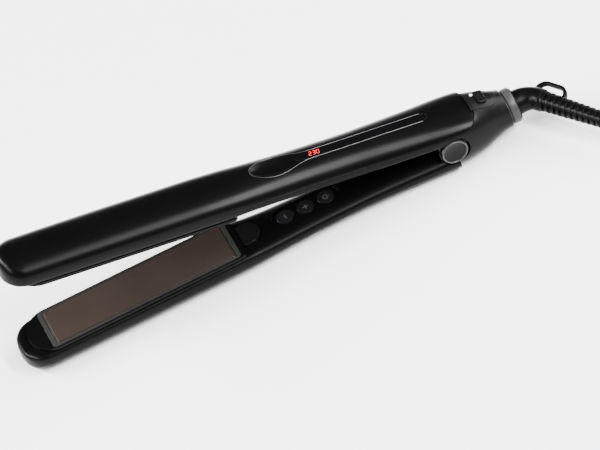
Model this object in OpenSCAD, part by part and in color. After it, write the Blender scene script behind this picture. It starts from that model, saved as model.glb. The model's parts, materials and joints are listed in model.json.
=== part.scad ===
// Hair straightener: two hinged arms, floating plates, control panel, lock and swivel cord.
// Frame: millimetres, +X to the cord end, +Z up, hinge axis along Y.

/* [Arms] */
// Length from the hinge to the tip of an arm
arm_len = 240; // [220:1:250]
// Angle between the arms at rest
open_deg = 11; // [8:0.5:13]
// Height of the closing plane over the surface the lower arm lies on
close_z = 16.4; // [16.2:0.1:16.5]
// Wall of the arm shells
wall = 2; // [1.8:0.1:2.2]

/* [Plates] */
// Length of a heating plate
plate_l = 100; // [90:1:102]
// Width of a heating plate
plate_w = 25; // [22:0.5:25]
// Height of a plate over its frame
plate_rise = 0.85; // [0.6:0.05:0.9]

/* [Controls] */
// Diameter of a button
button_d = 9; // [8:0.2:9.4]
// Distance between buttons
button_pitch = 11.4; // [11.2:0.2:11.6]
// Width of the display strip
display_w = 6; // [5:0.2:6.4]

/* [Cord] */
// Diameter of the mains cord
cord_d = 6; // [5.8:0.1:6.2]
// Length of the runs in the hank
hank_run = 110; // [90:1:120]

/* [Hidden] */
hinge_x = 100; // the hinge axis, at the closing plane
swivel_z = close_z - 2.9; // the swivel axis
swivel_x = 140; // rear end of the collar
gap = 0.15; // each plate face to the closing plane, arms closed
inner_z = 2.7; // the inner faces of the arms, from the closing plane
seam_z = 8; // where shell and handle cover meet
pin_r = 2; // hinge pin
eye_r = 7.9; // hinge eyes and barrels
eye_cut = 8.4; // room around the eyes
cap_r = 7; // hinge caps
handle_end = 117.5; // the handle cover ends here, from the hinge
frame_a = 117.8; // plate frame, from the hinge
frame_b = 232.5;
plate_mid = -172; // middle of the plates, from the hinge
tip_round = 12; // rounding of the frame's corners at the tip
gasket_l = 5; // the gasket is this much longer and wider than the plate
gasket_w = 2;
screw_x = [-14, -110]; // cover screws
board_posts = [-99, -44]; // posts under the control board, from the hinge
pad_x = -110.6; // the small pad behind the plate
dish_r = 41; // the thumb dish in the upper arm is cut by a ball
dish_x = -93;
dish_z = 16.2 - 1.5;
sides = 28; // points round an arm's section
cavity_sides = 20;
fine = 0.02; // running clearance of pins and barrels

// Stations of an arm: distance from the hinge, half width, height of the upper arm's outside,
// height of the lower arm's outside, inner face, widest height, fullness outside, fullness inside
arm_rows = [
  [-20, 14.6, 15.2, 16.7, inner_z, 8.5, 2.45, 2.2],
  [-10, 15.2, 15.7, 16.7, inner_z, 8.5, 2.45, 2.2],
  [0, 15.4, 15.9, 16.6, inner_z, 8.5, 2.45, 2.2],
  [15, 14.6, 15.8, 15.8, inner_z, 8.5, 2.45, 2.2],
  [35, 13.5, 15.4, 14.8, inner_z, 8.3, 2.4, 2.2],
  [55, 13, 15.2, 14.4, inner_z, 8, 2.35, 2.2],
  [75, 13.1, 15.4, 14.5, inner_z, 8, 2.35, 2.2],
  [95, 13.8, 15.9, 15.2, inner_z, 7.9, 2.4, 2.3],
  [108, 14.5, 16.2, 15.9, inner_z, 7.7, 2.4, 2.8],
  [118, 15, 16.4, 16.4, inner_z, 7.3, 2.4, 4],
  [135, 15.3, 16.6, 16.6, inner_z, 7, 2.35, 5],
  [160, 15.4, 16.6, 16.6, inner_z, 7, 2.3, 5],
  [185, 15.4, 16.5, 16.6, inner_z, 7, 2.3, 5],
  [205, 15.4, 16.4, 16.6, inner_z, 7, 2.3, 5],
  [arm_len - 20, 15.3, 16.2, 16.5, inner_z, 7, 2.3, 5],
  [arm_len - 11, 15.2, 16.1, 16.4, inner_z, 7, 2.3, 5],
  [arm_len - 7, 13.9, 16, 16.2, inner_z, 7, 2.35, 5],
  [arm_len - 4.5, 12.3, 15.8, 15.9, 2.8, 7, 2.4, 4.5],
  [arm_len - 2.7, 10.4, 15.2, 15.2, 3, 7, 2.4, 4],
  [arm_len - 1.4, 8.3, 14.3, 14.3, 3.3, 7, 2.4, 4],
  [arm_len - 0.5, 6.1, 13.1, 13.1, 3.9, 7.2, 2.4, 3.5],
  [arm_len, 3.6, 11.6, 11.6, 4.8, 7.6, 2.4, 3]
];

// Stations of the rear housing: x, half width, top, bottom, widest height, fullness
house_rows = [
  [99, 15.5, 15.2, 16.7, 0, 2.45],
  [104, 15.5, 15, 16.7, 0, 2.45],
  [110, 15.3, 14.6, 16.6, -0.2, 2.4],
  [116, 14.7, 13.9, 16.2, -0.6, 2.3],
  [121, 13.7, 12.7, 15, -1.1, 2.2],
  [126, 12.1, 11.1, 13.6, -1.7, 2.1],
  [130, 11, 9.3, 12.9, -2.2, 2],
  [133.5, 10.3, 7.7, 12.7, -2.6, 2],
  [134.3, 10.15, 7.3, 12.8, -2.7, 2]
];

// The front edge of the rear housing, seen from the side, from the hinge axis
seam = [[1, -30], [1, 0], [5.6, 6.2], [11, 8.6], [15.2, 10.4], [16.8, 11.8], [16.9, 13.2],
  [15.8, 15.6], [14.6, 18], [60, 18], [60, -30]];
seam_room = [[0.6, -30], [0.6, 1], [5, 6.7], [10.8, 9.1], [14.9, 10.9], [16.3, 12.1],
  [16.4, 13.1], [15.3, 15.4], [14, 18.4], [60, 18.4], [60, -30]];

// The strain relief: bend in the horizontal plane, then straight
bend_x = 142;
bend_r = 11;
bend_deg = 57;
relief_l = 46;
relief_u = [cos(bend_deg), -sin(bend_deg)];
relief_p = [bend_x + bend_r * sin(bend_deg), -bend_r * (1 - cos(bend_deg))];
relief_end = [relief_p[0] + relief_l * relief_u[0], relief_p[1] + relief_l * relief_u[1], swivel_z];

// The free cord: from the strain relief down to the surface and into the hank, and on to the plug
lead_route = [
  relief_end, [177.4, -45.3, 13.5], [180.1, -48.8, 13.2], [183.6, -52.1, 12.5], [187.7, -54.8, 11.6],
  [192.2, -56.7, 10.5], [197, -57.8, 9.3], [200.9, -58, 8.3], [207, -58, 6.7], [214, -58, 5], [221, -58, 3.8],
  [228, -58, 3.1], [235, -58, 3], [242, -58, 3]
];
tail_route = [
  [332, -1, 8.2], [326, -1, 8.4], [320, -1.2, 9.2], [314, -1.5, 10.4], [308, -1.8, 11.9], [302, -2.2, 13.5],
  [296, -2.7, 15.1], [290, -3.2, 16.5], [284, -3.6, 17.6], [277, -3.9, 18.2], [270, -4, 18.3]
];
hank_mid = [290, -28];
hank_in = 15; // inner radius of the hank's ends
hank_out = 33;
hank_h = 11.6;
plug_at = tail_route[10];

function pw(v, p) = sign(v) * pow(abs(v), p);
function section(x, w, up, down, mid, n_up, n_down, m) = [for (k = [0:m - 1])
  let (a = 360 * (k + 0.5) / m, c = cos(a), s = sin(a), n = s >= 0 ? n_up : n_down)
  [x, w * pw(c, 2 / n), mid + (s >= 0 ? up - mid : mid - down) * pw(s, 2 / n)]];
function arm_section(r, t, d, m) =
  section(-r[0], r[1] - d, r[t] - d, r[4] + d, r[5], r[6], r[7], m);
function house_section(r, d, m) =
  section(r[0], r[1] - d, r[2] - d, -r[3] + d, r[4], r[5], r[5], m);
function unit(v) = v / norm(v);
function sweep_dir(p, i) = unit(p[min(i + 1, len(p) - 1)] - p[max(i - 1, 0)]);
function sweep_ring(p, i, r, m) = let (d = sweep_dir(p, i), e = unit(cross(d, [0, 0, 1])), f = cross(e, d))
  [for (k = [0:m - 1]) p[i] + r * (cos(360 * k / m) * e + sin(360 * k / m) * f)];

// a closed solid through a list of rings
module loft(rings) {
  m = len(rings[0]);
  n = len(rings);
  polyhedron(points = [for (r = rings) each r],
    faces = concat([[for (k = [m - 1:-1:0]) k]], [[for (k = [0:m - 1]) (n - 1) * m + k]],
      [for (i = [0:n - 2]) for (k = [0:m - 1])
        let (a = i * m + k, b = i * m + (k + 1) % m) each [[a, b, a + m], [b, b + m, a + m]]]));
}
module tube(p, r, m) loft([for (i = [0:len(p) - 1]) sweep_ring(p, i, r, m)]);
module block(x0, x1, y0, y1, z0, z1) translate([x0, y0, z0]) cube([x1 - x0, y1 - y0, z1 - z0]);
module y_rod(r, y0, y1) translate([0, y0, 0]) rotate([-90, 0, 0]) cylinder(h = y1 - y0, r = r, $fn = 64);
module x_rod(r, x0, x1) translate([x0, 0, 0]) rotate([0, 90, 0]) cylinder(h = x1 - x0, r = r, $fn = 64);
module z_rod(r, z0, z1) translate([0, 0, z0]) cylinder(h = z1 - z0, r = r, $fn = 48);
module rounded(l, w, r) hull() for (x = [-1, 1], y = [-1, 1])
  translate([x * (l / 2 - r), y * (w / 2 - r)]) circle(r, $fn = 32);
module capsule(l, w) hull() for (x = [-1, 1]) translate([x * (l - w) / 2, 0]) circle(w / 2, $fn = 48);
module slab(z0, z1) translate([0, 0, z0]) linear_extrude(z1 - z0) children();

// Places. Both arms are drawn about the hinge: tip to -X, outside to +Z.
module at_hinge() translate([hinge_x, 0, close_z]) children();
module lower() at_hinge() mirror([0, 0, 1]) children();
module upper() at_hinge() rotate([0, open_deg, 0]) children();
module at_swivel() translate([0, 0, swivel_z]) children();
module at_plate() translate([plate_mid, 0, 0]) children();
module coil(r, wire, turns, pitch) loft([for (i = [0:turns * 10])
  let (a = i * 36, c = [cos(a), sin(a), 0])
  [for (k = [0:4]) (r + wire * cos(k * 72)) * c + [0, 0, i * pitch / 10 + wire * sin(k * 72)]]]);

// ---- shared shapes of the two arms ----
module arm_solid(t) loft([for (r = arm_rows) arm_section(r, t, 0, sides)]);
module arm_cavity(t) loft([for (r = arm_rows) if (r[0] < arm_len - 1) arm_section(r, t, wall, cavity_sides)]);
module frame_plan(grow) hull() for (side = [-1, 1]) {
  translate([tip_round - frame_b, side * (13 - tip_round)]) circle(tip_round + grow, $fn = 48);
  translate([-frame_a - 2, side * 11]) circle(2 + grow, $fn = 24);
}
module arm_shell(t) difference() {
  arm_solid(t);
  arm_cavity(t);
  block(-handle_end, 40, -20, 20, -5, seam_z);
  slab(-5, 9) frame_plan(0);
}
module handle_cover(t) difference() {
  intersection() {
    arm_solid(t);
    block(-handle_end, 0, -20, 20, -5, seam_z);
  }
  arm_cavity(t);
  y_rod(eye_cut, -20, 20);
}
module plate_frame() difference() {
  union() {
    slab(inner_z, 6) frame_plan(-0.02);
    slab(1, inner_z) frame_plan(1.3);
  }
  at_plate() slab(0, 2.6) rounded(plate_l + gasket_l, plate_w + gasket_w, 2);
  at_plate() slab(2.5, 7) rounded(plate_l + 4, 25.7, 1.5);
}
module gasket() at_plate() slab(0.85, 2.6) difference() {
  rounded(plate_l + gasket_l, plate_w + gasket_w, 2);
  rounded(plate_l + 0.5, plate_w + 0.5, 1.4);
}
module heating_plate() union() {
  at_plate() slab(gap + plate_rise, 3.4) rounded(plate_l, plate_w, 1.2);
  at_plate() slab(gap, gap + plate_rise) rounded(plate_l - 1.6, plate_w - 1.6, 1);
  at_plate() slab(2.8, 4) rounded(plate_l + 3.4, min(plate_w + 0.5, 25.5), 1.5);
}
module heater() union() {
  at_plate() slab(4, 5.6) rounded(78, 14, 0.5);
  at_plate() for (x = [-34, 34]) translate([x, 0, 5.6]) cylinder(h = 0.6, r = 3, $fn = 32);
}
module plate_springs(top) at_plate() for (x = [-34, 34]) translate([x, 0, 6.6])
  coil(2.3, 0.35, 5, (top - 7.2) / 5);
module sensor() at_plate() translate([0, 0, 5.6]) union() {
  slab(0, 0.8) rounded(9, 6, 0.6);
  slab(0.8, 2.2) rounded(4, 2.6, 0.6);
}
module pad_plan() intersection() {
  hull() {
    for (y = [-6, 6]) translate([-4.6, y]) circle(1, $fn = 24);
    translate([-1.4, 0]) circle(7, $fn = 64);
  }
  translate([-5.6, -8]) square([12, 16]);
}
module rest_pad() translate([pad_x, 0, 0]) slab(1.8, 3.4) pad_plan();
module pad_room() translate([pad_x, 0, 0]) slab(0, 3.4) pad_plan();
module cover_screws(z) for (x = screw_x) translate([x, 0, 0]) union() {
  z_rod(2.4, 4.6, 6);
  z_rod(1.2, 5.9, z);
}
module screw_room() for (x = screw_x) translate([x, 0, 0]) {
  z_rod(2.5, -1, 6);
  z_rod(1.25, 5, 30);
}
module screw_posts(z) for (x = screw_x) translate([x, 0, 0]) z_rod(3, seam_z, z);
module cover_bosses() for (x = screw_x) translate([x, 0, 0]) z_rod(3.6, 3.4, seam_z);

// ---- lower arm and base ----
module lower_shell() color("#141416") lower() difference() {
  union() {
    arm_shell(3);
    screw_posts(15.5);
    for (y = [-9.1, 3.4]) block(-6, -0.6, y, y + 5.7, 5, 15);
    for (y = [-9.1, 3.4]) y_rod(eye_r, y, y + 5.7);
    for (x = board_posts) translate([x, 0, 0]) z_rod(2, 11.6, 13.6);
  }
  block(-300, 60, -20, 20, close_z, 30);
  mirror([0, 0, 1]) side_cut(seam);
  for (y = [-20, 9.3]) y_rod(eye_cut, y, y + 10.7);
  y_rod(pin_r, -20, 20);
  screw_room();
}
module side_cut(p) rotate([90, 0, 0]) linear_extrude(60, center = true) polygon(p);
module lower_cover() color("#17171a") lower() difference() {
  union() {
    handle_cover(3);
    cover_bosses();
  }
  translate([panel_x, 0, 0]) slab(0, 12) capsule(panel_l, panel_w);
  screw_room();
  pad_room();
}
module lower_frame() color("#5d5a55") lower() plate_frame();
module lower_gasket() color("#6f6e62") lower() gasket();
module lower_pad() color("#1c1c1e") lower() rest_pad();
module lower_screws() color("#8a8a8c") lower() cover_screws(13);
module lower_springs() color("#b8b8ba") lower() plate_springs(14.2);

panel_x = -79; // middle of the control panel, from the hinge
panel_l = 37;
panel_w = 13.5;
module control_bezel() color("#101012") lower() translate([panel_x, 0, 0]) difference() {
  slab(3.6, 6.2) capsule(panel_l, panel_w);
  for (i = [-1:1]) translate([i * button_pitch, 0, 0]) z_rod(button_d / 2 + 0.15, 0, 12);
}
module button(i) lower() translate([panel_x + i * button_pitch, 0, 0]) union() {
  z_rod(button_d / 2, 3.1, 6.4);
  z_rod(button_d / 2 + 0.8, 6.4, 7.2);
  z_rod(1.2, 7.2, 8);
}
module minus_button() color("#2a2a2d") button(-1);
module plus_button() color("#2a2a2d") button(0);
module power_button() color("#2a2a2d") button(1);
module button_switches() color("#3a3a3c") lower() for (i = [-1:1])
  translate([panel_x + i * button_pitch, 0, 0]) union() {
    slab(9.4, 10.5) square([4.5, 4.5], center = true);
    z_rod(0.9, 8.9, 9.4);
  }
module control_board() color("#1f4d2e") lower() block(-103, -40, -6.5, 6.5, 10.5, 11.6);
module board_parts() color("#5a5146") lower() union() {
  translate([-53, 3, 0]) slab(8.1, 10.5) rounded(7, 5, 0.6);
  translate([-53, -3.8, 0]) slab(9.3, 10.5) square([5, 4], center = true);
  translate([-44, 0, 0]) slab(8.4, 10.5) square([4, 8], center = true);
}
module power_leads() color("#b33a2c") for (side = [-1, 1])
  tube([for (p = lead_pair) [p[0], side * p[1], p[2]]], 0.9, 8);
lead_pair = [[58, 2.8, 6.9], [61.5, 2.9, 6.9], [66, 3.3, 6.5], [72, 4.2, 5.9], [79, 5, 5.5], [87, 5, 5.4],
  [90, 3.9, 5.3], [93, 2.4, 5.2], [96, 2.1, 5], [104, 2.2, 4.8], [111, 2.2, 4.9], [116.6, 2.2, 5.7]];

// ---- hinge ----
module hinge_pin() color("#c9c9cc") at_hinge() y_rod(pin_r, -14.4, 14.4);
module hinge_cap(side) at_hinge() mirror([0, side < 0 ? 1 : 0, 0]) difference() {
  rotate([-90, 0, 0]) rotate_extrude($fn = 96)
    polygon([[0, 13.7], [cap_r, 13.7], [cap_r, 15.3], [cap_r - 0.4, 15.8], [cap_r - 1.1, 15.8],
      [cap_r - 1.6, 15.3], [0, 14.9]]);
  y_rod(pin_r, 0, 14.4);
}
module hinge_cap_near() color("#3b3b3e") hinge_cap(-1);
module hinge_cap_far() color("#3b3b3e") hinge_cap(1);
module hinge_spring() color("#a9a9ad") at_hinge() translate([0, -2.4, 0]) rotate([-90, 0, 0])
  tube(concat([[-4.2, 8, 0], [-4.2, 2, 0]],
    [for (i = [0:40]) [-4.2 * cos(36 * i), -4.2 * sin(36 * i), 0.12 * i]],
    [[-4.2, -2, 4.8], [-4.2, -8, 4.8]]), 0.5, 6);

// ---- rear housing, lock and swivel ----
module house_solid(d) loft([for (i = [len(house_rows) - 1:-1:0])
  house_section(house_rows[i], d, d == 0 ? sides : cavity_sides)]);
module rear_housing() color("#2c2c2f") difference() {
  at_height() intersection() {
    house_solid(0);
    translate([hinge_x, 0, 0]) side_cut(seam);
  }
  at_height() intersection() {
    house_solid(2);
    block(90, 129, -20, 20, -20, 20);
  }
  block(90, 150, -20, 20, -5, 0);
  at_hinge() y_rod(eye_cut, -20, 20);
  at_swivel() x_rod(barrel_r + fine, 120, 150);
  at_lock() slab(-2.4, 6) lock_plan();
  at_lock() block(-4.5, 7, -3.6, 3.6, -4.5, 0);
}
module at_height() translate([0, 0, close_z]) children();
barrel_r = 6.3;
lock_tilt = 17;
lock_travel = 3;
module at_lock() translate([123.5, 0, close_z + 12.3]) rotate([0, lock_tilt, 0]) children();
module lock_plan() union() {
  translate([-6.4, -5.5]) square([8.9, 11]);
  translate([2.5, 0]) circle(5.5, $fn = 64);
}
module lock_plate() color("#333336") at_lock() difference() {
  slab(-2.4, 0) lock_plan();
  slab(-3, 1) translate([-2.3, -2.1]) square([4.6 + lock_travel, 4.2]);
}
module lock_slider() color("#3a3a3d") at_lock() union() {
  slab(0.06, 1.1) rounded(4.4, 8.6, 0.8);
  slab(-5.4, 0.2) square([3.6, 3.8], center = true);
  block(-10, 1.8, -1.5, 1.5, -5.4, -4.4);
  slab(-3.4, -2.5) square([4.4, 6.4], center = true);
}
module swivel_collar() color("#6d6d70") at_swivel() difference() {
  x_rod(9.2, 134.5, 139.4);
  x_rod(barrel_r + fine, 130, 141);
}
module collar_lip() color("#2b2b2e") at_swivel() difference() {
  x_rod(8.4, 139.4, swivel_x);
  x_rod(barrel_r + fine, 130, 141);
}
module swivel_barrel() color("#1b1b1d") at_swivel() difference() {
  union() {
    x_rod(barrel_r, 127.5, swivel_x);
    x_rod(7.6, 125.3, 127.5);
    x_rod(4.2, 116, 125.3);
  }
  x_rod(1.5, 110, 150);
}
module slip_rings() color("#c9a545") at_swivel() for (x = [117.4, 121.4]) difference() {
  x_rod(5, x, x + 2);
  x_rod(4.2, x - 1, x + 3);
}
module contact_block() color("#4a4238") block(116.6, 123.2, -3.5, 3.5, 4.6, 6.8);
module contact_brushes() color("#b87333") for (x = [118.4, 122.4])
  block(x - 0.7, x + 0.7, -1.6, 1.6, 6.8, swivel_z - 5.05);

// ---- upper arm ----
module upper_shell() color("#151518") difference() {
  upper() difference() {
    union() {
      difference() {
        arm_shell(2);
        y_rod(eye_cut, -20, 20);
      }
      screw_posts(14.8);
      for (y = [-13.4, 9.6]) block(-5, 5, y, y + 3.8, 5.5, 13.2);
      for (y = [-13.4, 9.6]) y_rod(eye_r, y, y + 3.8);
    }
    y_rod(pin_r + fine, -20, 20);
    screw_room();
    display_prism();
    block(-75.3, -63.7, -3.3, 3.3, 11, 16);
    thumb_dish();
  }
  at_hinge() side_cut(seam_room);
}
module display_prism() translate([-44, 0, 0]) slab(14.3, 20) capsule(72, display_w);
module display_window() color("#232326") upper() difference() {
  intersection() {
    arm_solid(2);
    display_prism();
  }
  thumb_dish();
}
module thumb_dish() translate([dish_x, 0, dish_z + dish_r]) sphere(dish_r, $fn = 128);
module upper_cover() color("#17171a") upper() difference() {
  union() {
    handle_cover(2);
    cover_bosses();
  }
  screw_room();
  pad_room();
}
module upper_gasket() color("#6f6e62") upper() gasket();
module upper_pad() color("#1c1c1e") upper() rest_pad();
module upper_frame() color("#5d5a55") upper() plate_frame();
module upper_screws() color("#8a8a8c") upper() cover_screws(12.5);
module upper_springs() color("#b8b8ba") upper() plate_springs(14);
module display_board() color("#1f4d2e") upper() block(-86, -52, -7, 7, 10.6, 11.6);
module display_digits() color("#c8261c") upper() block(-75, -64, -3, 3, 11.6, 13.3);
module lock_catch() color("#2b2b2e") upper() union() {
  block(3, 7, -3, 3, 12.2, 13.5);
  block(3, 4.2, -3, 3, 10.4, 12.2);
}

// ---- plates ----
module lower_plate() color("#655650") lower() heating_plate();
module lower_heater() color("#b9b4aa") lower() heater();
module lower_sensor() color("#c98a3c") lower() sensor();
module thermal_fuse() color("#c7c7c4") lower() at_plate() translate([18, 0, 5.6 + 1.6]) x_rod(1.6, -5, 5);
module upper_plate() color("#655650") upper() heating_plate();
module upper_heater() color("#b9b4aa") upper() heater();
module upper_sensor() color("#c98a3c") upper() sensor();

// ---- cord ----
module at_relief() translate([relief_p[0], relief_p[1], swivel_z]) rotate([0, 0, -bend_deg]) children();
module strain_relief() color("#19191b") union() {
  at_swivel() tube(concat([[swivel_x, 0, 0]],
    [for (i = [0:8]) let (a = bend_deg * i / 8) [bend_x + bend_r * sin(a), -bend_r * (1 - cos(a)), 0]],
    [concat(relief_p + 2.6 * relief_u, [0])]), 5.9, 24);
  at_relief() rotate([0, 90, 0]) rotate_extrude($fn = 48) polygon(concat([[0, 1], [4.6, 1], [4.6, 3]],
    [for (i = [0:11]) each let (x = 3 + i * 3.5, r = 5.2 - i * 0.1)
      [[r - 0.9, x], [r - 0.9, x + 1.3], [r, x + 1.5], [r, x + 3.3]]],
    [[3.4, relief_l], [0, relief_l]]));
}
module hanging_loop() color("#1a1a1c") at_relief() rotate([12, 0, 0]) translate([4.5, 4.7, 0])
  slab(-1.5, 1.5) difference() {
    loop_plan(0);
    loop_plan(2);
  }
module loop_plan(d) hull() {
  translate([-3.5, 0]) circle(6 - d, $fn = 64);
  translate([3.5, 0.4]) circle(5.6 - d, $fn = 64);
}
module cord_lead() color("#1c1c1e") tube(lead_route, cord_d / 2, 10);
module cord_hank() color("#1e1e20") translate([hank_mid[0], hank_mid[1], 0]) slab(0.1, hank_h) difference() {
  capsule(hank_run + 2 * hank_out, 2 * hank_out);
  capsule(hank_run + 2 * hank_in, 2 * hank_in);
}
module cord_tail() color("#1c1c1e") tube(tail_route, cord_d / 2, 10);
module hank_tie() color("#3a3a3c") translate(hank_mid) rotate([90, 0, 90]) slab(-4, 4) difference() {
  translate([0, 6]) rounded(2 * hank_out + 2.4, 12, 4);
  translate([0, 6]) rounded(2 * hank_out, 11, 3.5);
}
module plug_body() color("#1b1b1d") translate(plug_at) rotate([0, -90, 0]) union() {
  cylinder(h = 12, r1 = 4, r2 = 5, $fn = 48);
  hull() {
    translate([0, 0, 10]) cylinder(h = 2, r = 6.6, $fn = 32);
    for (y = [-10.5, 10.5]) translate([0, y, 20]) cylinder(h = 16, r = 6.6, $fn = 32);
  }
}
module plug_pins() color("#c2c2c5") translate(plug_at) rotate([0, -90, 0]) for (y = [-9.5, 9.5])
  translate([0, y, 36]) union() {
    cylinder(h = 18, r = 2, $fn = 32);
    translate([0, 0, 18]) sphere(2, $fn = 32);
  }

lower_shell();
lower_cover();
lower_frame();
lower_gasket();
lower_pad();
lower_screws();
lower_springs();
control_bezel();
minus_button();
plus_button();
power_button();
button_switches();
control_board();
board_parts();
power_leads();
hinge_pin();
hinge_cap_near();
hinge_cap_far();
hinge_spring();
rear_housing();
lock_plate();
lock_slider();
swivel_collar();
collar_lip();
swivel_barrel();
slip_rings();
contact_block();
contact_brushes();
upper_shell();
display_window();
upper_cover();
upper_frame();
upper_gasket();
upper_pad();
upper_screws();
upper_springs();
display_board();
display_digits();
lock_catch();
lower_plate();
lower_heater();
lower_sensor();
thermal_fuse();
upper_plate();
upper_heater();
upper_sensor();
strain_relief();
hanging_loop();
cord_lead();
cord_hank();
cord_tail();
hank_tie();
plug_body();
plug_pins();
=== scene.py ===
import bmesh
import bpy
import json
import math
from mathutils import Matrix, Vector


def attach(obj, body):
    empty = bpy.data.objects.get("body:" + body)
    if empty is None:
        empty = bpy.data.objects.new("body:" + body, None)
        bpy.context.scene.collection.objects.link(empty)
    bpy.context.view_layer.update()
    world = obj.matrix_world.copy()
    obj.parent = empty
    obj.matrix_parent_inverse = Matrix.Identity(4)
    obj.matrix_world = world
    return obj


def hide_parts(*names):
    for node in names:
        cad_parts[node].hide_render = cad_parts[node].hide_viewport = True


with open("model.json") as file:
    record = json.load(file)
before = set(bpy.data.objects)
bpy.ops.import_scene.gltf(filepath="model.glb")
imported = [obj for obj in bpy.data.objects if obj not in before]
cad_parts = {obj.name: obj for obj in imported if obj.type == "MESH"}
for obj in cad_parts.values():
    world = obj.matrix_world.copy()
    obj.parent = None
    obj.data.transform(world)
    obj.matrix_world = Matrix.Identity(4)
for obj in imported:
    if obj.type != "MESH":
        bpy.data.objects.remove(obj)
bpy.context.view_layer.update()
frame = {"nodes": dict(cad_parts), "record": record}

MM = 0.001
SWIVEL_Z = 13.5 * MM
CORD_D = 6 * MM


# ---- camera ----
def camera():
    data = bpy.data.cameras.new("camera")
    data.sensor_width = 36
    data.lens = 357
    data.clip_end = 20
    o = bpy.data.objects.new("camera", data)
    bpy.context.scene.collection.objects.link(o)
    aim = Vector((14.2, -7.4, 10.6)) * MM
    heading, down, roll = (math.radians(a) for a in (7.57, 45.42, -20.77))
    distance = 2.997
    look = Vector((math.sin(heading) * math.cos(down), math.cos(heading) * math.cos(down), -math.sin(down)))
    level = look.cross(Vector((0, 0, 1))).normalized()
    up = level.cross(look)
    right = level * math.cos(roll) + up * math.sin(roll)
    upright = right.cross(look)
    m = Matrix((right, upright, -look)).transposed().to_4x4()
    m.translation = aim - look * distance
    o.matrix_world = m
    bpy.context.scene.camera = o


camera()


# ---- cord ----
def smooth_line(points, step=2 * MM):
    """A smooth curve through the points, as closely spaced points."""
    p = [Vector(q) for q in points]
    p = [2 * p[0] - p[1]] + p + [2 * p[-1] - p[-2]]
    out = []
    for i in range(1, len(p) - 2):
        a, b, c, d = p[i - 1:i + 3]
        n = max(2, round((c - b).length / step))
        for k in range(n):
            t = k / n
            out.append(0.5 * (2 * b + (c - a) * t + (2 * a - 5 * b + 4 * c - d) * t**2
                              + (3 * b - a - 3 * c + d) * t**3))
    return out + [p[-2]]


def line_curve(name, points, radius, sides=5):
    """A round tube along the points; its points carry the radius, so the curve's box is the tube's."""
    data = bpy.data.curves.new(name, "CURVE")
    data.dimensions = "3D"
    data.bevel_depth = 1
    data.bevel_resolution = sides
    data.use_fill_caps = True
    spline = data.splines.new("POLY")
    spline.points.add(len(points) - 1)
    for point, at in zip(spline.points, points):
        point.co = (*at, 1)
        point.radius = radius
    spline.use_smooth = True
    o = bpy.data.objects.new(name, data)
    bpy.context.scene.collection.objects.link(o)
    return o


LEAD = [(176.28, -43.59, 13.5), (177.4, -45.3, 13.5), (180.1, -48.8, 13.2), (183.6, -52.1, 12.5),
        (187.7, -54.8, 11.6), (192.2, -56.7, 10.5), (197, -57.8, 9.3), (200.9, -58, 8.3), (207, -58, 6.7),
        (214, -58, 5), (221, -58, 3.8), (228, -58, 3.1), (235, -58, 3), (242, -58, 3)]
TAIL = [(332, -1, 8.2), (326, -1, 8.4), (320, -1.2, 9.2), (314, -1.5, 10.4), (308, -1.8, 11.9),
        (302, -2.2, 13.5), (296, -2.7, 15.1), (290, -3.2, 16.5), (284, -3.6, 17.6), (277, -3.9, 18.2),
        (270, -4, 18.3)]
HANK_MID = (290, -28)
HANK_HALF = 55
LOW, HIGH = 3, 8.2
# each turn of the hank: its radius and height, and where on the far run it changes to the next
TURNS = [(30, LOW, 0.6, 1.0), (24, LOW, 0.6, 1.0), (18, LOW, 0.25, 0.65), (21, HIGH, 0.0, 0.4),
         (27, HIGH, 0, 1)]
NEAR_STEPS, FOLD_STEPS, FAR_STEPS = 20, 24, 40
TURN_GAP = 4


def ease(t):
    t = min(1, max(0, t))
    return t * t * (3 - 2 * t)


def hank_line():
    """The turns of the hank, in mm: near run, right fold, far run, left fold."""
    x0, y0 = HANK_MID
    pts = []
    for i, (r, z, start, stop) in enumerate(TURNS):
        last = i == len(TURNS) - 1
        r2, z2 = (r, z) if last else TURNS[i + 1][:2]
        first_x = LEAD[-1][0] + TURN_GAP if i == 0 else x0 - HANK_HALF
        for k in range(NEAR_STEPS):
            pts.append((first_x + (x0 + HANK_HALF - first_x) * k / NEAR_STEPS, y0 - r, z))
        for k in range(FOLD_STEPS):
            a = math.pi * (k / FOLD_STEPS - 0.5)
            pts.append((x0 + HANK_HALF + r * math.cos(a), y0 + r * math.sin(a), z))
        for k in range(FAR_STEPS):
            t = k / FAR_STEPS
            x = x0 + HANK_HALF - 2 * HANK_HALF * t
            if last and x < TAIL[0][0] + TURN_GAP:
                return pts
            e = ease((t - start) / (stop - start)) if not last else 0
            pts.append((x, y0 + r + (r2 - r) * e, z + (z2 - z) * e))
        for k in range(FOLD_STEPS):
            a = math.pi * (k / FOLD_STEPS + 0.5)
            pts.append((x0 - HANK_HALF + r2 * math.cos(a), y0 + r2 * math.sin(a), z2))
    return pts


def cord_line():
    lead = smooth_line([Vector(p) * MM for p in LEAD])
    hank = [Vector(p) * MM for p in hank_line()]
    tail = smooth_line([Vector(p) * MM for p in TAIL])
    return lead + hank + tail


line = cord_line()
cord = line_curve("cord", line, CORD_D / 2)
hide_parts("cord_lead", "cord_hank", "cord_tail")
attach(cord, "swivel")


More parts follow.
